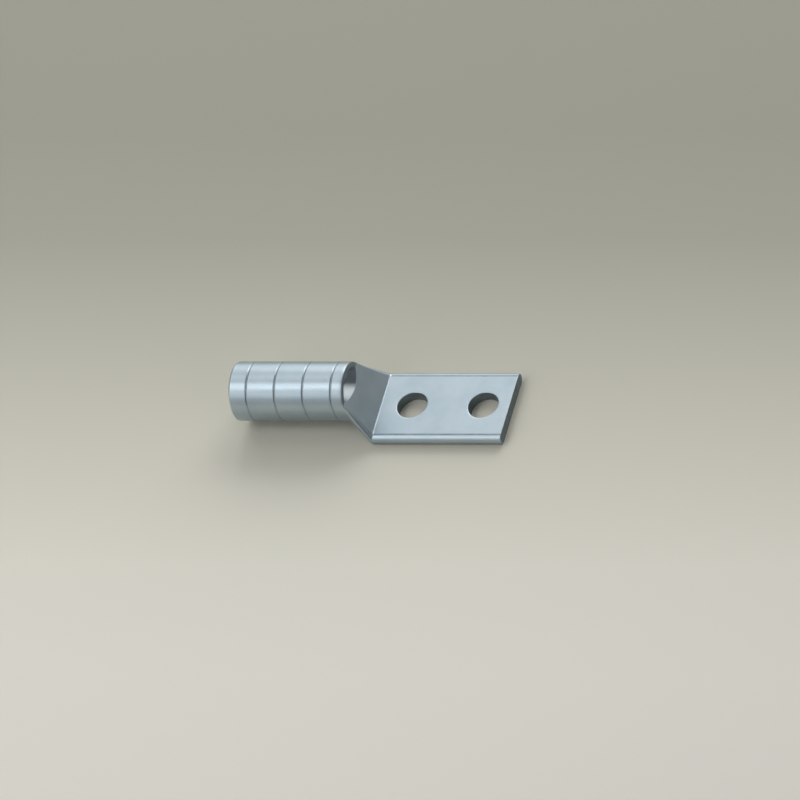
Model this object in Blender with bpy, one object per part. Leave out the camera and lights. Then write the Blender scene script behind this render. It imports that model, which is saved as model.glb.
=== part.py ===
"""Two-hole compression lug, modelled as the one piece of tinned copper that it is.

A seamless tube stays round at one end, as a barrel that takes a stranded conductor and is
crimped between its ring marks. Its other end is pressed down over a sloping shoulder into a
flat pad two walls thick, with round long edges, punched for two bolts at one inch spacing.
The bore breaks out above the shoulder, where the end of the conductor can be seen.

Frame: the origin is on the pad's underside, midway between the two bolt holes. +X runs along
the lug from the barrel to the pad's tip, +Z points up from the face that is bolted down.
"""

import math

import bmesh
import bpy

MM = 0.001

# Driving dimensions, in millimetres
# Pad and its bolt holes
HOLE_PITCH = 25.4
HOLE_DIAMETER = 10.5
HOLE_EDGE_BREAK = 0.25
FAR_HOLE_TO_TIP = 9.4
NEAR_HOLE_TO_FOLD = 11.0
PAD_WIDTH = 28.5
TIP_EDGE_BREAK = 0.2

# Tube and barrel
TUBE_DIAMETER = 19.7
TUBE_WALL = 1.95
BARREL_LENGTH = 40.8
BARREL_CLEARANCE = 1.45
CABLE_END_ROUND = 0.75
CABLE_MOUTH_CHAMFER = 0.8

# Ring marks that show where to crimp
RING_MARK_COUNT = 4
RING_MARK_PITCH = 10.1
RING_MARK_WIDTH = 0.8
RING_MARK_DEPTH = 0.3
FIRST_RING_FROM_CABLE_END = 6.45

# Shoulder between the barrel and the pad
SHOULDER_LENGTH = 7.8
SHOULDER_ABOVE_AXIS = 3.3
UNDER_FOLD_LEAD = 1.2
BORE_DISH_DEPTH = 1.2

# Most of the wall's thickness that either edge of the cable end may take
CABLE_END_EDGE_SHARE = 0.42

# Facets of the curved surfaces
PAD_EDGE_STEPS = 12
UNDERSIDE_STEPS = 40
TOP_STEPS = 42
RING_MARK_STEPS = 4
CABLE_END_ROUND_STEPS = 3
SHOULDER_STEPS = 6
DISH_STEPS = 5
HOLE_STEPS = 72

# A cutter reaches this far past the surface that it cuts
CUTTER_OVERSHOOT = 1.0

# Sizes and places that follow from the driving dimensions
PAD_THICKNESS = 2 * TUBE_WALL
PAD_FLAT_HALF = (PAD_WIDTH - PAD_THICKNESS) / 2
TUBE_RADIUS = TUBE_DIAMETER / 2
BORE_RADIUS = TUBE_RADIUS - TUBE_WALL
AXIS_HEIGHT = BARREL_CLEARANCE + TUBE_RADIUS
HOLE_PLACES = (-HOLE_PITCH / 2, HOLE_PITCH / 2)
FOLD_X = HOLE_PLACES[0] - NEAR_HOLE_TO_FOLD
TIP_X = HOLE_PLACES[1] + FAR_HOLE_TO_TIP
BARREL_END_X = FOLD_X - SHOULDER_LENGTH
CABLE_END_X = BARREL_END_X - BARREL_LENGTH
OUTER_EDGE = min(CABLE_END_ROUND, CABLE_END_EDGE_SHARE * TUBE_WALL)
MOUTH_EDGE = min(CABLE_MOUTH_CHAMFER, CABLE_END_EDGE_SHARE * TUBE_WALL)

# Angle, above the horizontal through the barrel's axis, of the shoulder's top corners
CORNER_ANGLE = math.asin(SHOULDER_ABOVE_AXIS / TUBE_RADIUS)
LOWER_COUNT = 2 * PAD_EDGE_STEPS + UNDERSIDE_STEPS


def lower_angles():
    """Angles round the tube's underside, spaced so that each point of the tube meets the
    point of the flattened pad that lies the same share of the way round."""
    edge_share = math.pi * PAD_THICKNESS / 2
    underside_share = 2 * PAD_FLAT_HALF
    perimeter = 2 * edge_share + underside_share
    steps = ([edge_share / PAD_EDGE_STEPS] * PAD_EDGE_STEPS
             + [underside_share / UNDERSIDE_STEPS] * UNDERSIDE_STEPS
             + [edge_share / PAD_EDGE_STEPS] * PAD_EDGE_STEPS)
    turn = math.pi + 2 * CORNER_ANGLE
    angles = [CORNER_ANGLE]
    for step in steps:
        angles.append(angles[-1] - turn * step / perimeter)
    return angles


def ring_angles():
    """The whole turn: the underside, then over the top from one shoulder corner to the other."""
    over_the_top = math.pi - 2 * CORNER_ANGLE
    top = [CORNER_ANGLE + over_the_top * (1 - step / TOP_STEPS) for step in range(1, TOP_STEPS)]
    return lower_angles() + top


def tube_point(x, radius, angle):
    return (x, radius * math.cos(angle), AXIS_HEIGHT + radius * math.sin(angle))


def hole_point(z, radius, angle, centre_x):
    return (centre_x + radius * math.cos(angle), radius * math.sin(angle), z)


def pad_edge(side, inset=0.0):
    """One round long edge of the pad as (y, z) points, from its top to its underside on the
    +Y side and from its underside to its top on the -Y side."""
    radius = PAD_THICKNESS / 2 - inset
    centre_y = side * PAD_FLAT_HALF
    points = []
    for step in range(PAD_EDGE_STEPS + 1):
        angle = math.pi * step / PAD_EDGE_STEPS
        height = side * radius * math.cos(angle)
        points.append((centre_y + side * radius * math.sin(angle), PAD_THICKNESS / 2 + height))
    return points


def pad_underside():
    """Points across the flat underside, from its +Y edge to its -Y edge, without its ends."""
    width = 2 * PAD_FLAT_HALF
    return [(PAD_FLAT_HALF - width * step / UNDERSIDE_STEPS, 0.0)
            for step in range(1, UNDERSIDE_STEPS)]


def fold_section():
    """The pad's outline where the shoulder folds into it. The fold leans: on the underside it
    lies nearer to the barrel than on top."""
    outline = pad_edge(1) + pad_underside() + pad_edge(-1)
    return [(FOLD_X - UNDER_FOLD_LEAD * (1 - z / PAD_THICKNESS), y, z) for y, z in outline]


def barrel_profile():
    """(x, radius) points along the outside of the barrel, from the cable end."""
    profile = []
    for step in range(CABLE_END_ROUND_STEPS + 1):
        angle = math.pi / 2 * step / CABLE_END_ROUND_STEPS
        profile.append((CABLE_END_X + OUTER_EDGE * (1 - math.cos(angle)),
                        TUBE_RADIUS - OUTER_EDGE * (1 - math.sin(angle))))
    for mark in range(RING_MARK_COUNT):
        middle = CABLE_END_X + FIRST_RING_FROM_CABLE_END + mark * RING_MARK_PITCH
        for step in range(RING_MARK_STEPS + 1):
            across = 2 * step / RING_MARK_STEPS - 1
            profile.append((middle + across * RING_MARK_WIDTH / 2,
                            TUBE_RADIUS - RING_MARK_DEPTH * (1 - across ** 2)))
    profile.append((BARREL_END_X, TUBE_RADIUS))
    return profile


def bore_profile():
    """(x, radius) points of the space that the bore takes out: a chamfered cable mouth, the
    bore itself, and the shallow dish that ends it inside the shoulder."""
    flare = MOUTH_EDGE + CUTTER_OVERSHOOT
    profile = [(CABLE_END_X - CUTTER_OVERSHOOT, BORE_RADIUS + flare),
               (CABLE_END_X + MOUTH_EDGE, BORE_RADIUS),
               (BARREL_END_X, BORE_RADIUS)]
    sphere = (BORE_RADIUS ** 2 + BORE_DISH_DEPTH ** 2) / (2 * BORE_DISH_DEPTH)
    for step in range(DISH_STEPS - 1, -1, -1):
        radius = BORE_RADIUS * step / DISH_STEPS
        rise = math.sqrt(sphere ** 2 - radius ** 2) - (sphere - BORE_DISH_DEPTH)
        profile.append((BARREL_END_X + rise, radius))
    return profile


def hole_profile():
    """(z, radius) points of a bolt hole, with both of its rims broken at 45 degrees."""
    radius = HOLE_DIAMETER / 2
    flare = radius + HOLE_EDGE_BREAK + CUTTER_OVERSHOOT
    return [(-CUTTER_OVERSHOOT, flare),
            (HOLE_EDGE_BREAK, radius),
            (PAD_THICKNESS - HOLE_EDGE_BREAK, radius),
            (PAD_THICKNESS + CUTTER_OVERSHOOT, flare)]


def add_loop(bm, points):
    return [bm.verts.new((x * MM, y * MM, z * MM)) for x, y, z in points]


def skin(bm, first, second, closed=True):
    """Faces between two loops of the same number of points."""
    count = len(first)
    for i in range(count if closed else count - 1):
        j = (i + 1) % count
        bm.faces.new((first[i], first[j], second[j], second[i]))


def finish_mesh(bm, name, material=None):
    bmesh.ops.recalc_face_normals(bm, faces=bm.faces)
    mesh = bpy.data.meshes.new(name)
    bm.to_mesh(mesh)
    bm.free()
    if material:
        mesh.materials.append(material)
    mesh.shade_smooth()
    mesh.set_sharp_from_angle(angle=math.radians(30))
    obj = bpy.data.objects.new(name, mesh)
    bpy.context.scene.collection.objects.link(obj)
    return obj


def turned_solid(name, profile, angles, place):
    """A solid of revolution. place(along, radius, angle) gives a point of it."""
    bm = bmesh.new()
    loops = []
    for along, radius in profile:
        turn = angles if radius > 0 else angles[:1]
        loops.append(add_loop(bm, [place(along, radius, angle) for angle in turn]))
    for first, second in zip(loops, loops[1:]):
        if len(second) > 1:
            skin(bm, first, second)
            continue
        for i, corner in enumerate(first):
            bm.faces.new((corner, first[(i + 1) % len(first)], second[0]))
    for end in (loops[0], loops[-1]):
        if len(end) > 1:
            bm.faces.new(end)
    return finish_mesh(bm, name)


def add_barrel(bm):
    """The round tube, still solid, and its last loop, at the square-cut inner end."""
    loops = [add_loop(bm, [tube_point(x, radius, angle) for angle in ring_angles()])
             for x, radius in barrel_profile()]
    bm.faces.new(loops[0])
    for first, second in zip(loops, loops[1:]):
        skin(bm, first, second)
    inner_end = loops[-1]
    bm.faces.new(inner_end[LOWER_COUNT:] + inner_end[:1])
    return inner_end[:LOWER_COUNT + 1]


def add_shoulder(bm, tube_end):
    """Straight lines from the tube's lower part to the pad's outline, under one flat slope."""
    start = [tube_point(BARREL_END_X, TUBE_RADIUS, angle) for angle in lower_angles()]
    end = fold_section()
    loops = [tube_end]
    for step in range(1, SHOULDER_STEPS + 1):
        share = step / SHOULDER_STEPS
        loops.append(add_loop(bm, [
            tuple(a + (b - a) * share for a, b in zip(near, far)) for near, far in zip(start, end)]))
    for first, second in zip(loops, loops[1:]):
        skin(bm, first, second, closed=False)
    bm.faces.new([loop[0] for loop in loops] + [loop[-1] for loop in reversed(loops)])
    return loops[-1]


def add_pad(bm, fold):
    """The flat pad from its fold to its tip, whose outline is broken all round."""
    corners = PAD_EDGE_STEPS + 1
    body_end_x = TIP_X - TIP_EDGE_BREAK
    body_end = add_loop(bm, [(body_end_x, y, z) for y, z in pad_edge(1) + pad_edge(-1)])
    tip = add_loop(bm, [(TIP_X, y, z) for y, z in
                        pad_edge(1, TIP_EDGE_BREAK) + pad_edge(-1, TIP_EDGE_BREAK)])
    skin(bm, fold[:corners], body_end[:corners], closed=False)
    skin(bm, fold[-corners:], body_end[corners:], closed=False)
    bm.faces.new((fold[0], fold[-1], body_end[-1], body_end[0]))
    bm.faces.new(fold[PAD_EDGE_STEPS:len(fold) - PAD_EDGE_STEPS]
                 + [body_end[corners], body_end[corners - 1]])
    skin(bm, body_end, tip)
    bm.faces.new(tip)


def tinned_copper():
    material = bpy.data.materials.new("tinned_copper")
    material.use_nodes = True
    shader = material.node_tree.nodes["Principled BSDF"]
    shader.inputs["Base Color"].default_value = (0.48, 0.57, 0.63, 1.0)
    shader.inputs["Metallic"].default_value = 1.0
    shader.inputs["Roughness"].default_value = 0.38
    return material


def cut(body, name, cutter):
    cutter.hide_render = True
    cutter.display_type = 'WIRE'
    boolean = body.modifiers.new(name, 'BOOLEAN')
    boolean.operation = 'DIFFERENCE'
    boolean.solver = 'EXACT'
    boolean.object = cutter


def build_lug():
    bm = bmesh.new()
    tube_end = add_barrel(bm)
    fold = add_shoulder(bm, tube_end)
    add_pad(bm, fold)
    lug = finish_mesh(bm, "lug", tinned_copper())
    cut(lug, "bore", turned_solid("bore_cutter", bore_profile(), ring_angles(), tube_point))
    circle = [2 * math.pi * step / HOLE_STEPS for step in range(HOLE_STEPS)]
    for number, centre_x in enumerate(HOLE_PLACES, start=1):
        cutter = turned_solid(
            f"hole_cutter_{number}", hole_profile(), circle,
            lambda z, radius, angle: hole_point(z, radius, angle, centre_x))
        cut(lug, f"bolt_hole_{number}", cutter)
    return lug


def clear_scene():
    for obj in list(bpy.data.objects):
        bpy.data.objects.remove(obj, do_unlink=True)


clear_scene()
build_lug()
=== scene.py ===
"""Looks of the two-hole compression lug: one piece of copper tube, pressed to shape, punched and
tin-plated, lying on a pale studio floor. Lengths are in millimetres until a mesh is made."""

import math

import bmesh
import bpy
from mathutils import Matrix, Vector


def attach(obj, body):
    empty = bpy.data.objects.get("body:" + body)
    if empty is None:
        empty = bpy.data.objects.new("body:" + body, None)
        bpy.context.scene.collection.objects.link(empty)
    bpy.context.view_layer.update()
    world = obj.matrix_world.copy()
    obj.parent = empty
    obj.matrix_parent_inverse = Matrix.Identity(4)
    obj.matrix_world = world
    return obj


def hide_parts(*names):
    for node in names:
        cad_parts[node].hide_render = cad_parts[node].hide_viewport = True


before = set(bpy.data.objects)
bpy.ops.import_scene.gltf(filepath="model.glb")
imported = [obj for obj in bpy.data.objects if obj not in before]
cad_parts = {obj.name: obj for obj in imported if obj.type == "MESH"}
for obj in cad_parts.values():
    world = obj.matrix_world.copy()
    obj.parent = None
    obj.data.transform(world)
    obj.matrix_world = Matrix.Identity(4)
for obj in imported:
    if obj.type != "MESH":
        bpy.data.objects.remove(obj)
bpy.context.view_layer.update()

MM = 0.001
MICROMETRE = 0.001 * MM

# Pad and its bolt holes
HOLE_PITCH = 25.4
HOLE_DIAMETER = 10.5
HOLE_RIM_ROUND = 0.22
FAR_HOLE_TO_TIP = 9.4
NEAR_HOLE_TO_FOLD = 11.0
PAD_WIDTH = 28.5
TIP_ROUND = 0.2

# Tube and barrel
TUBE_DIAMETER = 19.7
TUBE_WALL = 1.95
BARREL_LENGTH = 40.8
BARREL_CLEARANCE = 1.45
CABLE_END_ROUND = 0.75
CABLE_MOUTH_CHAMFER = 0.8
MOUTH_EDGE_ROUND = 0.12
RING_OUTER_ROUND = 0.28
RING_INNER_ROUND = 0.2

# Ring marks, rolled into the barrel
RING_MARK_COUNT = 4
RING_MARK_PITCH = 10.1
RING_MARK_WIDTH = 1.0
RING_MARK_DEPTH = 0.12
FIRST_RING_FROM_CABLE_END = 6.45

# Shoulder between the barrel and the pad
SHOULDER_LENGTH = 7.8
SHOULDER_ABOVE_AXIS = 3.3
UNDER_FOLD_LEAD = 1.2
BORE_DISH_DEPTH = 1.2
BARREL_BEND = 0.9
FOLD_BEND = 0.35
# Soft edge between the sides and the flat top, on the shoulder and on the pad
TOP_EDGE_ROUND = 0.45
PRESS_LINE_DEPTH = 0.06
DISH_CORNER_ROUND = 0.7
OPENING_EDGE_ROUND = 0.22

# Facets
PAD_EDGE_STEPS = 18
UNDERSIDE_STEPS = 72
TOP_STEPS = 84
ROUND_STEPS = 4
CABLE_END_STEPS = 6
MOUTH_EDGE_STEPS = 2
FOLD_STEPS = 6
RING_MARK_STEPS = 10
SHOULDER_STEPS = 10
DISH_STEPS = 8
HOLE_STEPS = 128

PAD_THICKNESS = 2 * TUBE_WALL
PAD_FLAT_HALF = (PAD_WIDTH - PAD_THICKNESS) / 2
TUBE_RADIUS = TUBE_DIAMETER / 2
BORE_RADIUS = TUBE_RADIUS - TUBE_WALL
AXIS_HEIGHT = BARREL_CLEARANCE + TUBE_RADIUS
HOLE_PLACES = (-HOLE_PITCH / 2, HOLE_PITCH / 2)
FOLD_X = HOLE_PLACES[0] - NEAR_HOLE_TO_FOLD
TIP_X = HOLE_PLACES[1] + FAR_HOLE_TO_TIP
BARREL_END_X = FOLD_X - SHOULDER_LENGTH
CABLE_END_X = BARREL_END_X - BARREL_LENGTH

SHOULDER_TOP = AXIS_HEIGHT + SHOULDER_ABOVE_AXIS
CORNER_ANGLE = math.asin(SHOULDER_ABOVE_AXIS / TUBE_RADIUS)
BORE_CORNER_ANGLE = math.asin(SHOULDER_ABOVE_AXIS / BORE_RADIUS)
# Steps of a loop that pass underneath, from one shoulder corner to the other
LOWER_COUNT = 2 * PAD_EDGE_STEPS + UNDERSIDE_STEPS

# Over this length towards a corner, the round of an edge fades to nothing
CORNER_FADE = 1.6
# Over this share of the slope, counted from its top, the round of its edges grows to full size
EDGE_GROWTH = 0.25
# Most of the dish's own length that its corner and its lip may take, where the dish is short
DISH_CORNER_SHARE = 0.35
LIP_SHARE = 0.3
# A row of points this far from each end keeps the shading of the long tube between them true
STEADY_BAND = 1.4
# Edges at either end of a fading round that stay crisp
CRISP_EDGES = 3
# Width of a flat band round each hole's rim, without which the pad's shading shows faint streaks
RIM_BAND = 0.5
# Faces that meet at more than this many degrees keep a crisp edge between them
CRISP_FROM = 35
# How strongly large faces keep the shading flat up to their edges, out of 100
FLAT_FACE_WEIGHT = 100
# Points nearer than this, in metres, are one
SAME_PLACE = 1e-7

# How worn the edges are, from 0 to 1
MOUTH_WEAR = 0.6
LIP_WEAR = 0.2
SLOPE_WEAR = 0.8

X_AXIS = Vector((1, 0, 0))
Y_AXIS = Vector((0, 1, 0))
SLOPE_DOWN = Vector((SHOULDER_LENGTH, 0, PAD_THICKNESS - SHOULDER_TOP)).normalized()


# Shapes that several surfaces share

def quarter_turn(steps):
    """The angles at which the rows of points of a round edge stand."""
    return [math.pi / 2 * step / steps for step in range(steps + 1)]


ROUND = quarter_turn(ROUND_STEPS)


def bend(start, corner, end, steps):
    """Points of a soft bend that leaves start and reaches end, pulled towards the corner."""
    points = []
    for step in range(steps + 1):
        t = step / steps
        points.append(start * (1 - t) ** 2 + corner * 2 * t * (1 - t) + end * t ** 2)
    return points


def turned_angles(corner_angle):
    """A whole turn: under the axis from the +Y shoulder corner to the -Y one, spaced as the
    pad's outline is, then over the top."""
    edge = math.pi * PAD_THICKNESS / 2
    underside = 2 * PAD_FLAT_HALF
    edge_steps = [edge / PAD_EDGE_STEPS] * PAD_EDGE_STEPS
    steps = edge_steps + [underside / UNDERSIDE_STEPS] * UNDERSIDE_STEPS + edge_steps
    turn = math.pi + 2 * corner_angle
    angles = [corner_angle]
    for step in steps:
        angles.append(angles[-1] - turn * step / (2 * edge + underside))
    over = math.pi - 2 * corner_angle
    angles += [corner_angle + over * (1 - step / TOP_STEPS) for step in range(1, TOP_STEPS)]
    return angles


TUBE_ANGLES = turned_angles(CORNER_ANGLE)
BORE_ANGLES = turned_angles(BORE_CORNER_ANGLE)


def tube_point(x, radius, angle):
    """A point round the barrel's axis, with the angle counted from +Y upwards."""
    return Vector((x, radius * math.cos(angle), AXIS_HEIGHT + radius * math.sin(angle)))


def fade_from_corners(index):
    """0 at the two shoulder corners and 1 away from them, for a place in the whole turn."""
    angle = TUBE_ANGLES[index]
    corners = (CORNER_ANGLE, -math.pi - CORNER_ANGLE, math.pi - CORNER_ANGLE)
    along = min(abs(angle - corner) for corner in corners) * TUBE_RADIUS
    t = min(1.0, along / CORNER_FADE)
    return t * t * (3 - 2 * t)


def pad_section(x_of_z, inset=0.0):
    """The pad's outline as points, from its top on the +Y side, round underneath, to its top on
    the -Y side."""
    middle = PAD_THICKNESS / 2
    edge = []
    for step in range(PAD_EDGE_STEPS + 1):
        angle = math.pi * step / PAD_EDGE_STEPS
        edge.append((PAD_FLAT_HALF + (middle - inset) * math.sin(angle),
                     (middle - inset) * math.cos(angle)))
    points = [(y, middle + rise) for y, rise in edge]
    points += [(PAD_FLAT_HALF * (1 - 2 * step / UNDERSIDE_STEPS), inset)
               for step in range(1, UNDERSIDE_STEPS)]
    points += [(-y, middle - rise) for y, rise in edge]
    return [Vector((x_of_z(z), y, z)) for y, z in points]


def point_along(points, run, distance):
    """The place at a distance along a line of points, where run holds the way to each of them."""
    last = len(points) - 2
    for i in range(last + 1):
        if distance <= run[i + 1] or i == last:
            return points[i].lerp(points[i + 1], (distance - run[i]) / (run[i + 1] - run[i]))


def soften_ends(points, length, groove=0.0):
    """An open outline whose two ends meet a flat face. Each end gets a round of the given length,
    sunk by the groove's depth, and the points between keep their share of the way."""
    run = [0.0]
    for a, b in zip(points, points[1:]):
        run.append(run[-1] + (b - a).length)
    share = 1 - 2 * length / run[-1]
    middle = [point_along(points, run, length + share * here) for here in run]
    inward = (points[-1] - points[0]).normalized() * length
    first = bend(points[0] + inward, points[0], middle[0], ROUND_STEPS)
    last = bend(middle[-1], points[-1], points[-1] - inward, ROUND_STEPS)
    for step in range(1, ROUND_STEPS):
        for point in (first[step], last[step]):
            point.z -= groove * math.sin(math.pi * step / ROUND_STEPS) ** 2
    return first[:-1] + middle + last[1:]


# Collecting the skin of a piece

class Skin:
    """Collects loops of points and the faces between them. Each point notes how much of it is
    a worn edge, a rolled mark, a press line, a sheared face or the inside of the bore. Painted
    shade darkens the press lines and, in part, the rolled marks and sheared faces; painted light
    whitens the bore in part."""

    NOTES = ("worn_edge", "rolled_mark", "press_line", "sheared_face", "bore_wall")

    def __init__(self):
        self.bm = bmesh.new()
        self.notes = {name: self.bm.verts.layers.float.new(name) for name in self.NOTES}
        self.crisp = []

    def loop(self, points, **notes):
        verts = []
        for point in points:
            vert = self.bm.verts.new(point * MM)
            self.note(vert, **notes)
            verts.append(vert)
        return verts

    def note(self, vert, **notes):
        for name, value in notes.items():
            vert[self.notes[name]] = value

    def face(self, verts):
        """A face, without the points that repeat where a row closes on a corner."""
        kept = [v for i, v in enumerate(verts) if v is not verts[i - 1]]
        if len(kept) > 2:
            self.bm.faces.new(kept)

    def strip(self, first, second, closed=False):
        count = len(first)
        for i in range(count if closed else count - 1):
            j = (i + 1) % count
            self.face([first[i], first[j], second[j], second[i]])

    def fill(self, *outlines):
        """A flat face with holes, from closed outlines of points."""
        edges = []
        for outline in outlines:
            for a, b in zip(outline, outline[1:] + outline[:1]):
                edges.append(self.bm.edges.get((a, b)) or self.bm.edges.new((a, b)))
        bmesh.ops.triangle_fill(self.bm, use_beauty=True, edges=edges)


def add_object(name, data):
    thing = bpy.data.objects.new(name, data)
    bpy.context.scene.collection.objects.link(thing)
    return thing


def make_piece(name, skin, material):
    bm = skin.bm
    bmesh.ops.remove_doubles(bm, verts=bm.verts, dist=SAME_PLACE)
    bmesh.ops.recalc_face_normals(bm, faces=bm.faces)
    for face in bm.faces:
        face.smooth = True
    for edge in bm.edges:
        edge.smooth = edge.calc_face_angle() < math.radians(CRISP_FROM)
    for first, second in skin.crisp:
        edge = bm.edges.get((first, second)) if first.is_valid and second.is_valid else None
        if edge:
            edge.smooth = False
    mesh = bpy.data.meshes.new(name)
    bm.to_mesh(mesh)
    bm.free()
    mesh.materials.append(material)
    piece = add_object(name, mesh)
    flat = piece.modifiers.new("flat faces stay flat", 'WEIGHTED_NORMAL')
    flat.mode = 'FACE_AREA'
    flat.weight = FLAT_FACE_WEIGHT
    flat.keep_sharp = True
    return piece


# The lug, from its barrel to its tip

def turned_loop(skin, x, radius, angles, **notes):
    return skin.loop([tube_point(x, radius, angle) for angle in angles], **notes)


def wrap_barrel(skin):
    """The tube's outside, cable end and bore, as loops. Returns its inner end's outer loop and
    its bore loop, which stop short of the end by the rounds that follow."""
    outer_end = []
    bore_end = []
    for index, (angle, bore_angle) in enumerate(zip(TUBE_ANGLES, BORE_ANGLES)):
        fade = fade_from_corners(index)
        if index > LOWER_COUNT:
            outer_back = RING_OUTER_ROUND * fade
            bore_back = RING_INNER_ROUND * fade
        else:
            outer_back = BARREL_BEND * fade
            bore_back = dish_corner_length(index)
        outer_end.append(tube_point(BARREL_END_X - outer_back, TUBE_RADIUS, angle))
        bore_end.append(tube_point(BARREL_END_X - bore_back, BORE_RADIUS, bore_angle))
    loops = [skin.loop(outer_end),
             turned_loop(skin, BARREL_END_X - STEADY_BAND, TUBE_RADIUS, TUBE_ANGLES)]
    for mark in reversed(range(RING_MARK_COUNT)):
        middle = CABLE_END_X + FIRST_RING_FROM_CABLE_END + mark * RING_MARK_PITCH
        for step in range(RING_MARK_STEPS + 1):
            across = 1 - 2 * step / RING_MARK_STEPS
            depth = (math.cos(math.pi * across) + 1) / 2
            # The mark's depth also sets how much painted shade darkens it
            loops.append(turned_loop(skin, middle + across * RING_MARK_WIDTH / 2,
                                     TUBE_RADIUS - RING_MARK_DEPTH * depth, TUBE_ANGLES,
                                     rolled_mark=depth))
    for angle in quarter_turn(CABLE_END_STEPS):
        loops.append(turned_loop(
            skin, CABLE_END_X + CABLE_END_ROUND * (1 - math.sin(angle)),
            TUBE_RADIUS - CABLE_END_ROUND * (1 - math.cos(angle)), TUBE_ANGLES,
            worn_edge=math.sin(2 * angle)))
    mouth = BORE_RADIUS + CABLE_MOUTH_CHAMFER
    edge = Vector((CABLE_END_X, mouth))
    inside = Vector((CABLE_END_X + CABLE_MOUTH_CHAMFER, BORE_RADIUS))
    along = (inside - edge).normalized() * MOUTH_EDGE_ROUND
    for corner, before, after in (
            (edge, edge + Vector((0, MOUTH_EDGE_ROUND)), edge + along),
            (inside, inside - along, inside + Vector((MOUTH_EDGE_ROUND, 0)))):
        for x, radius in bend(before, corner, after, MOUTH_EDGE_STEPS):
            loops.append(turned_loop(skin, x, radius, BORE_ANGLES, worn_edge=MOUTH_WEAR))
    # The bore's note whitens its wall with painted light
    for x in (inside.x + STEADY_BAND, BARREL_END_X - STEADY_BAND):
        loops.append(turned_loop(skin, x, BORE_RADIUS, BORE_ANGLES, bore_wall=1.0))
    loops.append(skin.loop(bore_end, bore_wall=1.0))
    for first, second in zip(loops, loops[1:]):
        skin.strip(first, second, closed=True)
    return loops[0], loops[-1]


def crisp_near_corners(skin, loop):
    """Marks the first few edges of a loop at either end, where its round fades to nothing."""
    for part in (loop[:CRISP_EDGES + 1], loop[-CRISP_EDGES - 1:]):
        skin.crisp += list(zip(part, part[1:]))


def close_ring_end(skin, outer_end, bore_end):
    """The square-cut ring over the opening, with its two broken edges."""
    outer = outer_end[LOWER_COUNT:] + outer_end[:1]
    inner = bore_end[LOWER_COUNT:] + bore_end[:1]
    over = list(range(LOWER_COUNT, len(TUBE_ANGLES))) + [0]
    rows = [outer]
    # The sheared-face note darkens the ring's cut face with painted shade
    for angle in ROUND[1:]:
        row = []
        for index in over[1:-1]:
            size = RING_OUTER_ROUND * fade_from_corners(index)
            row.append(tube_point(BARREL_END_X - size * (1 - math.sin(angle)),
                                  TUBE_RADIUS - size * (1 - math.cos(angle)), TUBE_ANGLES[index]))
        rows.append([outer[0]] + skin.loop(row, worn_edge=math.sin(2 * angle),
                                           sheared_face=math.sin(angle)) + [outer[-1]])
    for angle in ROUND[:-1]:
        row = []
        for index in over[1:-1]:
            size = RING_INNER_ROUND * fade_from_corners(index)
            row.append(tube_point(BARREL_END_X - size * (1 - math.cos(angle)),
                                  BORE_RADIUS + size * (1 - math.sin(angle)), BORE_ANGLES[index]))
        rows.append([inner[0]] + skin.loop(row, worn_edge=math.sin(2 * angle),
                                           sheared_face=math.cos(angle)) + [inner[-1]])
    rows.append(inner)
    crisp_near_corners(skin, outer)
    for first, second in zip(rows, rows[1:]):
        skin.strip(first, second)


def opening_edge():
    """Where the dish that ends the bore breaks out of the slope: points from the +Y corner to
    the -Y corner, each with the way into the slope. The dish is part of a ball, so its edge on
    the flat slope is part of a circle. Returns the ball's centre and radius too."""
    radius = (BORE_RADIUS ** 2 + BORE_DISH_DEPTH ** 2) / (2 * BORE_DISH_DEPTH)
    centre = Vector((BARREL_END_X + BORE_DISH_DEPTH - radius, 0, AXIS_HEIGHT))
    corner = tube_point(BARREL_END_X, BORE_RADIUS, BORE_CORNER_ANGLE)
    normal = Y_AXIS.cross(SLOPE_DOWN)
    middle = centre - normal * (centre - corner).dot(normal)
    spoke = corner - middle
    reach = math.atan2(spoke.y, spoke.dot(SLOPE_DOWN))
    size = spoke.length
    points = []
    for index in range(LOWER_COUNT + 1):
        turn = reach * (1 - 2 * index / LOWER_COUNT)
        out = SLOPE_DOWN * math.cos(turn) + Y_AXIS * math.sin(turn)
        points.append((middle + out * size, out))
    return points, centre, radius


OPENING, DISH_CENTRE, DISH_RADIUS = opening_edge()


def dish_run(index):
    """Length of the dish from the bore's wall to the opening's edge."""
    return (tube_point(BARREL_END_X, BORE_RADIUS, BORE_ANGLES[index]) - OPENING[index][0]).length


def dish_corner_length(index):
    return min(DISH_CORNER_ROUND, DISH_CORNER_SHARE * dish_run(index))


def dish_point(index, share):
    """A place on the dish: at the bore's wall for a share of 0, at the opening for 1."""
    wall = tube_point(BARREL_END_X, BORE_RADIUS, BORE_ANGLES[index])
    away = wall.lerp(OPENING[index][0], share) - DISH_CENTRE
    return DISH_CENTRE + away.normalized() * DISH_RADIUS


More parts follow.
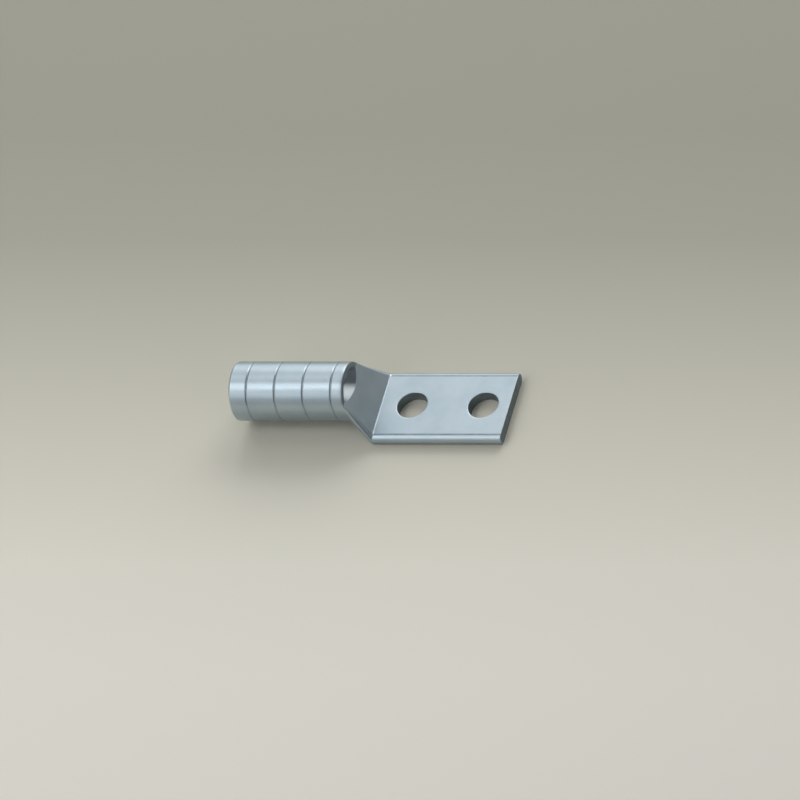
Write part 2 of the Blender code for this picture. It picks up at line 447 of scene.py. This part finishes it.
def hollow_dish(skin, bore_end):
    """The shallow dish that closes the bore inside the shoulder, up to the edge on the slope."""
    columns = []
    for index in range(1, LOWER_COUNT):
        run = dish_run(index)
        wall = tube_point(BARREL_END_X, BORE_RADIUS, BORE_ANGLES[index])
        edge, out = OPENING[index]
        corner_length = dish_corner_length(index)
        lip_length = min(OPENING_EDGE_ROUND, LIP_SHARE * run)
        start = corner_length / run
        stop = 1 - lip_length / run
        corner = bend(wall - X_AXIS * corner_length, wall, dish_point(index, start), ROUND_STEPS)
        floor = [dish_point(index, start + (stop - start) * step / DISH_STEPS)
                 for step in range(1, DISH_STEPS + 1)]
        lip = bend(floor[-1], edge, edge + out * lip_length, ROUND_STEPS)
        columns.append(corner[1:] + floor + lip[1:])
    depth = len(columns[0])
    rows = [bore_end[:LOWER_COUNT + 1]]
    for row in range(depth):
        on_lip = row >= depth - ROUND_STEPS
        worn = LIP_WEAR if on_lip and row < depth - 1 else 0.0
        # The dish, short of its lip, takes the bore's painted light
        inner = skin.loop([column[row] for column in columns], worn_edge=worn,
                          bore_wall=0.0 if on_lip else 1.0)
        rows.append([rows[0][0]] + inner + [rows[0][-1]])
    for first, second in zip(rows, rows[1:]):
        skin.strip(first, second)
    return rows[-1]


def draw_shoulder(skin, tube_end):
    """The tube's lower part, drawn out to the pad's outline: each line runs straight, with a
    soft bend where it leaves the barrel and where it meets the pad. The bend at the barrel fades
    to nothing at the two corners, which its loops share. Returns the loops and the number of the
    one at which the bend to the pad starts."""
    tube_end = tube_end[:LOWER_COUNT + 1]
    near = [tube_point(BARREL_END_X, TUBE_RADIUS, angle)
            for angle in TUBE_ANGLES[:LOWER_COUNT + 1]]
    far = pad_section(lambda z: FOLD_X - UNDER_FOLD_LEAD * (1 - z / PAD_THICKNESS))
    lines = []
    for index, (a, b) in enumerate(zip(near, far)):
        way = (b - a).normalized()
        leave = BARREL_BEND * fade_from_corners(index)
        first = bend(a - X_AXIS * leave, a, a + way * leave, ROUND_STEPS)
        start = first[-1]
        stop = b - way * FOLD_BEND
        last = bend(stop, b, b + X_AXIS * FOLD_BEND, FOLD_STEPS)
        straight = [start.lerp(stop, step / SHOULDER_STEPS) for step in range(1, SHOULDER_STEPS)]
        lines.append(first[1:] + straight + last)
    sections = list(zip(*lines))
    first_corner = [tube_end[0]] * ROUND_STEPS
    last_corner = [tube_end[-1]] * ROUND_STEPS
    loops = [first_corner + tube_end + last_corner]
    for section, outline in enumerate(sections):
        if section < ROUND_STEPS:
            loops.append(first_corner + tube_end[:1] + skin.loop(outline[1:-1]) + tube_end[-1:]
                         + last_corner)
            continue
        share = (outline[0] - near[0]).length / (far[0] - near[0]).length
        size = TOP_EDGE_ROUND * min(1.0, share / EDGE_GROWTH)
        groove = PRESS_LINE_DEPTH if section == len(sections) - 1 else 0.0
        loops.append(skin.loop(soften_ends(outline, size, groove)))
        worn = SLOPE_WEAR * max(0.0, 1 - share)
        for vert in loops[-1][1:ROUND_STEPS + 1] + loops[-1][-ROUND_STEPS - 1:-1]:
            skin.note(vert, worn_edge=worn)
    for first, second in zip(loops, loops[1:]):
        skin.strip(first, second)
    crisp_near_corners(skin, tube_end)
    return loops, len(loops) - 1 - FOLD_STEPS


def tone_press_lines(skin, loop):
    """Notes the thin line that the flattening die left along both long edges of the pad's top,
    for the painted shade that darkens it.
    """
    for step in range(1, ROUND_STEPS):
        for vert in (loop[step], loop[-1 - step]):
            skin.note(vert, press_line=math.sin(math.pi * step / ROUND_STEPS) ** 2)


def sheet_pad(skin, fold):
    """The pad's round long edges and its tip. Returns the outline where the tip's round starts,
    and the place in it where the flat underside starts."""
    loops = [fold]
    for angle in ROUND:
        x = TIP_X - TIP_ROUND * (1 - math.sin(angle))
        outline = pad_section(lambda z: x, TIP_ROUND * (1 - math.cos(angle)))
        # The sheared-face note darkens the tip's cut face with painted shade
        loops.append(skin.loop(soften_ends(outline, TOP_EDGE_ROUND, PRESS_LINE_DEPTH),
                               worn_edge=math.sin(2 * angle), sheared_face=math.sin(angle)))
    for loop in loops:
        tone_press_lines(skin, loop)
    edge = ROUND_STEPS + PAD_EDGE_STEPS
    skin.strip(loops[0][:edge + 1], loops[1][:edge + 1])
    skin.strip(loops[0][-edge - 1:], loops[1][-edge - 1:])
    for first, second in zip(loops[1:], loops[2:]):
        skin.strip(first, second, closed=True)
    skin.bm.faces.new(loops[-1])
    return loops[1], edge


def punch_hole(skin, centre_x):
    """A bolt hole's wall with round rims. Returns its loops on the top and on the underside."""
    profile = [(PAD_THICKNESS, HOLE_DIAMETER / 2 + HOLE_RIM_ROUND + RIM_BAND, 0.0)]
    for angle in ROUND:
        profile.append((PAD_THICKNESS - HOLE_RIM_ROUND * (1 - math.cos(angle)),
                        HOLE_DIAMETER / 2 + HOLE_RIM_ROUND * (1 - math.sin(angle)), angle))
    profile += [(PAD_THICKNESS - z, radius, angle) for z, radius, angle in reversed(profile)]
    loops = []
    for z, radius, rim_angle in profile:
        points = []
        for step in range(HOLE_STEPS):
            angle = 2 * math.pi * step / HOLE_STEPS
            points.append(Vector((centre_x + radius * math.cos(angle),
                                  radius * math.sin(angle), z)))
        # The sheared-face note darkens the hole's wall with painted shade
        loops.append(skin.loop(points, worn_edge=math.sin(2 * rim_angle),
                               sheared_face=math.sin(rim_angle)))
    for first, second in zip(loops, loops[1:]):
        skin.strip(first, second, closed=True)
    return loops[0], loops[-1]


def make_lug(material):
    skin = Skin()
    outer_end, bore_end = wrap_barrel(skin)
    close_ring_end(skin, outer_end, bore_end)
    lip = hollow_dish(skin, bore_end)
    loops, fold_start = draw_shoulder(skin, outer_end)
    tip, edge = sheet_pad(skin, loops[-1])
    # The slope's flat face round the opening, and the bend from it to the pad
    slope = loops[ROUND_STEPS:fold_start + 1]
    skin.face(lip + [loop[-1] for loop in slope] + [loop[0] for loop in reversed(slope)])
    for first, second in zip(loops[fold_start:], loops[fold_start + 1:]):
        skin.face([first[0], second[0], second[-1], first[-1]])
    # The pad's top and underside round the holes
    rims = [punch_hole(skin, centre_x) for centre_x in HOLE_PLACES]
    skin.fill([loops[-1][0], loops[-1][-1], tip[-1], tip[0]], *[rim[0] for rim in rims])
    skin.fill(loops[-1][edge:-edge] + tip[edge:-edge][::-1], *[rim[1] for rim in rims])
    return make_piece("lug_body", skin, material)


# Finishes

def colour(hex_code):
    """An sRGB hex colour as the linear values that Blender's sockets take."""
    channels = [int(hex_code[i:i + 2], 16) / 255 for i in (1, 3, 5)]
    linear = [c / 12.92 if c <= 0.04045 else ((c + 0.055) / 1.055) ** 2.4 for c in channels]
    return (*linear, 1.0)


def add_node(tree, kind, inputs=None, **settings):
    """One node with its settings. Each input is a value, or another node's output to link."""
    node = tree.nodes.new(kind)
    for name, value in settings.items():
        setattr(node, name, value)
    for socket, value in (inputs or {}).items():
        if isinstance(value, bpy.types.NodeSocket):
            tree.links.new(value, node.inputs[socket])
        else:
            node.inputs[socket].default_value = value
    return node


def new_material(name, **shader_inputs):
    """A material with plain values on its shader's sockets, an underscore for each space."""
    material = bpy.data.materials.new(name)
    material.use_nodes = True
    shader = material.node_tree.nodes["Principled BSDF"]
    for socket, value in shader_inputs.items():
        shader.inputs[socket.replace("_", " ")].default_value = value
    return material, material.node_tree, shader


# Patterns in the plating: how long each one's marks are along the lug, across it and upright, in
# millimetres, how many finer octaves it has, and what it adds to the roughness and, in
# micrometres, to the relief
PLATING_PATTERNS = {
    # Slow clouds of brightness from the plating bath
    "clouds": ((7.0, 7.0, 7.0), 3.0, 0.04, 0.0),
    # Matt tin's grain is a few micrometres; drawn at half a millimetre, so that it shows
    "grain": ((0.5, 0.5, 0.5), 2.0, 0.0, 2.8),
    # Lines that the die left along the drawn tube, through the plating
    "draw_lines": ((45.0, 0.5, 0.5), 3.0, 0.04, 4.0),
    # Fine rubbing marks from other lugs in the box
    "rub_marks": ((1.1, 0.16, 0.6), 1.0, 0.03, 1.2),
    # Upright lines on sheared faces; those of a real punch are finer
    "shear_lines": ((0.45, 0.45, 9.0), 2.0, 0.0, 0.0),
    # Breaks up the wear along edges
    "patches": ((2.2, 2.2, 2.2), 3.0, 0.0, 0.0),
}
# Noise hardly leaves this middle range, which is drawn out to run from 0 to 1
NOISE_RANGE = (0.3, 0.7)
# Roughness where every pattern is at its lowest
SMOOTHEST = 0.295
# Depth of the upright lines on sheared faces, in micrometres
SHEAR_LINE_DEPTH = 24.0
# The plating's own colour runs between these two, in slow clouds
PLATING_TONES = ("#AABAC4", "#B5C3CB")

# What each note on the skin does to the plating: colour, roughness and how fully it takes over
SKIN_TONES = {
    # Matt plating in the bore; its whitish colour is painted light
    "bore_wall": ("#D2D8DC", 0.8, 1.0),
    # Duller rolled marks, darkened with painted shade in the groove
    "rolled_mark": ("#87949E", 0.44, 0.85),
    # Painted shade: a dark line in the shallow press groove
    "press_line": ("#4E5A63", 0.45, 0.9),
    # Rougher sheared faces, darkened with painted shade on faces turned from the light
    "sheared_face": ("#6E7C85", 0.42, 0.85),
    "worn_edge": ("#D3DEE4", 0.29, 0.55),
}
# Where the patches are thinnest, a note keeps this share of its strength
THINNEST_PATCH = 0.7
# Nobody rubs the bore, so its plating stays as the bath left it, quite matt; its whitish tone is
# painted light in the shaded bore
BORE_METALLIC = 0.2

# Sockets of a Mix node, by number: its share, its two numbers, its two colours and its colour out
SHARE, NUMBER_A, NUMBER_B, COLOUR_A, COLOUR_B, COLOUR_OUT = 0, 2, 3, 6, 7, 2


def satin_tin_plate():
    """Electro-tinned copper, matt from the bath and burnished a little by handling: a cool satin
    silver that blurs what it mirrors, duller in the bore and in the rolled marks, brighter along
    the edges. Painted light whitens the bore; painted shade darkens the rolled marks, the press
    lines and the sheared faces."""
    material, tree, shader = new_material("satin_tin_plate")
    place = add_node(tree, "ShaderNodeTexCoord").outputs["Object"]
    noted = {name: add_node(tree, "ShaderNodeAttribute", attribute_name=name).outputs["Fac"]
             for name in SKIN_TONES}
    pattern = {}
    roughness = SMOOTHEST
    relief = 0.0
    for name, (size, octaves, rougher, higher) in PLATING_PATTERNS.items():
        scaled = add_node(tree, "ShaderNodeMapping",
                          {"Vector": place, "Scale": [1 / (length * MM) for length in size]})
        noise = add_node(tree, "ShaderNodeTexNoise",
                         {"Vector": scaled.outputs["Vector"], "Scale": 1.0, "Detail": octaves})
        drawn_out = add_node(tree, "ShaderNodeMapRange",
                             {"Value": noise.outputs["Fac"], "From Min": NOISE_RANGE[0],
                              "From Max": NOISE_RANGE[1]})
        pattern[name] = drawn_out.outputs["Result"]
        if rougher:
            roughness = add_node(tree, "ShaderNodeMath",
                                 {0: pattern[name], 1: rougher, 2: roughness},
                                 operation='MULTIPLY_ADD').outputs[0]
        if higher:
            relief = add_node(tree, "ShaderNodeMath", {0: pattern[name], 1: higher, 2: relief},
                              operation='MULTIPLY_ADD').outputs[0]
    tone = add_node(tree, "ShaderNodeMix",
                    {SHARE: pattern["clouds"], COLOUR_A: colour(PLATING_TONES[0]),
                     COLOUR_B: colour(PLATING_TONES[1])}, data_type='RGBA').outputs[COLOUR_OUT]
    # Each note mixes in its colour; all but the worn edge's carry painted shade or painted light
    for name, (hex_code, rough, strength) in SKIN_TONES.items():
        patchy = add_node(tree, "ShaderNodeMapRange",
                          {"Value": pattern["patches"], "To Min": THINNEST_PATCH * strength,
                           "To Max": strength})
        share = add_node(tree, "ShaderNodeMath", {0: noted[name], 1: patchy.outputs["Result"]},
                         operation='MULTIPLY').outputs[0]
        tone = add_node(tree, "ShaderNodeMix",
                        {SHARE: share, COLOUR_A: tone, COLOUR_B: colour(hex_code)},
                        data_type='RGBA').outputs[COLOUR_OUT]
        roughness = add_node(tree, "ShaderNodeMix",
                             {SHARE: share, NUMBER_A: roughness, NUMBER_B: rough}).outputs[0]
    metallic = add_node(tree, "ShaderNodeMapRange",
                        {"Value": noted["bore_wall"], "To Min": 1.0, "To Max": BORE_METALLIC})
    cut_lines = add_node(tree, "ShaderNodeMath",
                         {0: noted["sheared_face"], 1: pattern["shear_lines"]},
                         operation='MULTIPLY')
    relief = add_node(tree, "ShaderNodeMath",
                      {0: cut_lines.outputs[0], 1: SHEAR_LINE_DEPTH, 2: relief},
                      operation='MULTIPLY_ADD').outputs[0]
    skin_relief = add_node(tree, "ShaderNodeBump",
                           {"Height": relief, "Strength": 1.0, "Distance": MICROMETRE})
    tree.links.new(tone, shader.inputs["Base Color"])
    tree.links.new(roughness, shader.inputs["Roughness"])
    tree.links.new(metallic.outputs["Result"], shader.inputs["Metallic"])
    tree.links.new(skin_relief.outputs["Normal"], shader.inputs["Normal"])
    return material


# The floor's colour along the room, from in front of the lug to behind it, getting darker towards
# the back in painted shade: place in millimetres and colour
FLOOR_SWEEP = ((-110, "#F3F1E7"), (-64, "#EFEDE1"), (5, "#D6D4C7"), (74, "#B5B5A8"),
               (120, "#ADADA0"))
# Orange peel of rolled paint: how far apart its bumps are and how high, in millimetres
PAINT_BUMP_SPACING = 1.5
PAINT_BUMP_HEIGHT = 0.02


def matt_studio_floor():
    """A painted studio floor, dead matt, a little lighter in front than behind, where painted
    shade darkens it.
    """
    material, tree, shader = new_material("matt_studio_floor", Roughness=0.9,
                                          Specular_IOR_Level=0.15)
    place = add_node(tree, "ShaderNodeTexCoord").outputs["Object"]
    along = add_node(tree, "ShaderNodeSeparateXYZ", {"Vector": place}).outputs["Y"]
    start = FLOOR_SWEEP[0][0]
    reach = FLOOR_SWEEP[-1][0] - start
    share = add_node(tree, "ShaderNodeMapRange",
                     {"Value": along, "From Min": start * MM, "From Max": (start + reach) * MM})
    ramp = add_node(tree, "ShaderNodeValToRGB", {"Fac": share.outputs["Result"]})
    stops = ramp.color_ramp.elements
    for y, hex_code in FLOOR_SWEEP[1:-1]:
        stops.new((y - start) / reach)
    for stop, (y, hex_code) in zip(stops, FLOOR_SWEEP):
        stop.color = colour(hex_code)
    paint = add_node(tree, "ShaderNodeTexNoise",
                     {"Vector": place, "Scale": 1 / (PAINT_BUMP_SPACING * MM), "Detail": 2.0})
    relief = add_node(tree, "ShaderNodeBump",
                      {"Height": paint.outputs["Fac"], "Distance": PAINT_BUMP_HEIGHT * MM})
    tree.links.new(ramp.outputs["Color"], shader.inputs["Base Color"])
    tree.links.new(relief.outputs["Normal"], shader.inputs["Normal"])
    return material


# Studio: camera, lamps and floor

# The photograph's view, nearly parallel: its right, its up and the way towards the camera
VIEW_RIGHT = Vector((0.923, 0.239, -0.302))
TO_CAMERA = Vector((0.385, -0.572, 0.725))
PIXELS_PER_MM = 3.024
FRAME_PIXELS = 800
# How far the frame's middle lies to the right of the ring's middle, and below it, in pixels
AIM_RIGHT = 47.1
AIM_BELOW = 8.9
# A very long lens, because the photograph shows hardly any perspective
LENS = 1000.0
SENSOR = 36.0


def set_camera():
    """The photograph's own view, framed from the middle of the barrel's inner end."""
    back = TO_CAMERA.normalized()
    right = (VIEW_RIGHT - back * VIEW_RIGHT.dot(back)).normalized()
    up = back.cross(right)
    ring_middle = Vector((BARREL_END_X, 0, AXIS_HEIGHT))
    aim = ring_middle + (right * AIM_RIGHT - up * AIM_BELOW) / PIXELS_PER_MM
    distance = FRAME_PIXELS / PIXELS_PER_MM * LENS / SENSOR
    camera_data = bpy.data.cameras.new("camera")
    camera_data.lens = LENS
    camera_data.sensor_width = SENSOR
    camera = add_object("camera", camera_data)
    turn = Matrix((right, up, back)).transposed().to_4x4()
    camera.matrix_world = Matrix.Translation((aim + back * distance) * MM) @ turn
    bpy.context.scene.camera = camera


# Soft lamps round the lug: azimuth from +X and elevation in degrees, distance, width and height
# in metres, and brightness, where 1 is a white wall in plain daylight
SOFTBOXES = {
    "back_wall": (90, 22, 1.8, 3.0, 1.4, 1.1),
    "back_high": (124, 57, 1.5, 1.0, 1.0, 0.85),
    "back_key": (94, 36, 1.2, 0.5, 0.5, 2.0),
    "back_right_key": (68, 42, 1.2, 0.4, 0.4, 3.4),
    "left_wall": (180, 24, 1.8, 3.0, 1.5, 0.15),
    "left_high": (180, 58, 1.5, 1.2, 1.0, 0.6),
    "barrel_streak": (221, 59, 1.2, 0.45, 0.45, 2.3),
    "front_left_high": (241, 38, 1.2, 0.7, 0.5, 0.8),
    "front_left_wall": (225, 22, 1.8, 2.0, 1.4, 0.5),
    "front_high": (-40, 64, 1.2, 0.4, 0.4, 1.2),
    "front_right": (-27, 30, 1.5, 1.0, 0.8, 0.4),
    "right_back": (45, 20, 1.8, 1.6, 1.2, 0.26),
}
# Where they all point, in metres: the middle of the lug
LIT_POINT = Vector((-0.025, 0, 0.008))
# The faint light that comes from everywhere else
ROOM_COLOUR = "#F2F2F0"
ROOM_BRIGHTNESS = 0.1
# Metres along each side of the square floor
FLOOR_SIDE = 6.0


def aim_lamp(data, azimuth, elevation, distance, target=LIT_POINT):
    """Hangs a lamp at a distance from what it lights, facing it."""
    turn = math.radians(azimuth)
    rise = math.radians(elevation)
    towards = Vector((math.cos(rise) * math.cos(turn), math.cos(rise) * math.sin(turn),
                      math.sin(rise)))
    lamp = add_object(data.name, data)
    lamp.matrix_world = (Matrix.Translation(target + towards * distance)
                         @ towards.to_track_quat('Z', 'Y').to_matrix().to_4x4())


def softbox(name, azimuth, elevation, distance, width, height, brightness):
    """A flat soft lamp whose face has the given brightness."""
    data = bpy.data.lights.new(name, 'AREA')
    data.shape = 'RECTANGLE'
    data.size = width
    data.size_y = height
    data.energy = math.pi * width * height * brightness
    aim_lamp(data, azimuth, elevation, distance)


# The spot that shines in at the cable end: where it stands, the width of its cone in degrees, its
# radius in metres, its watts, and the place on the bore's wall that it is aimed at
BORE_SPOT = {"azimuth": 191.5, "elevation": 15.8, "distance": 0.4}
BORE_SPOT_CONE = 1.0
BORE_SPOT_RADIUS = 0.001
BORE_SPOT_WATTS = 13.0
BORE_SPOT_PLACE = Vector((BARREL_END_X - 5.4, 4.4, AXIS_HEIGHT - 6.5)) * MM


def light_the_bore():
    """A narrow lamp down the bore, because none of the softboxes reaches its wall."""
    data = bpy.data.lights.new("bore_spot", 'SPOT')
    data.spot_size = math.radians(BORE_SPOT_CONE)
    data.spot_blend = 1.0
    data.shadow_soft_size = BORE_SPOT_RADIUS
    data.energy = BORE_SPOT_WATTS
    aim_lamp(data, target=BORE_SPOT_PLACE, **BORE_SPOT)


def lay_floor(material):
    bm = bmesh.new()
    half = FLOOR_SIDE / 2
    for x, y in ((-half, -half), (half, -half), (half, half), (-half, half)):
        bm.verts.new((x, y, 0))
    bm.faces.new(bm.verts)
    mesh = bpy.data.meshes.new("floor")
    bm.to_mesh(mesh)
    bm.free()
    mesh.materials.append(material)
    add_object("floor", mesh)


def light_studio():
    world = bpy.data.worlds.new("studio")
    world.use_nodes = True
    background = world.node_tree.nodes["Background"]
    background.inputs["Color"].default_value = colour(ROOM_COLOUR)
    background.inputs["Strength"].default_value = ROOM_BRIGHTNESS
    bpy.context.scene.world = world
    for name, setting in SOFTBOXES.items():
        softbox(name, *setting)
    light_the_bore()


bpy.context.scene.view_settings.view_transform = 'Standard'
set_camera()
light_studio()
lay_floor(matt_studio_floor())
lug = make_lug(satin_tin_plate())
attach(lug, "root")
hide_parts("lug")

bpy.context.view_layer.update()
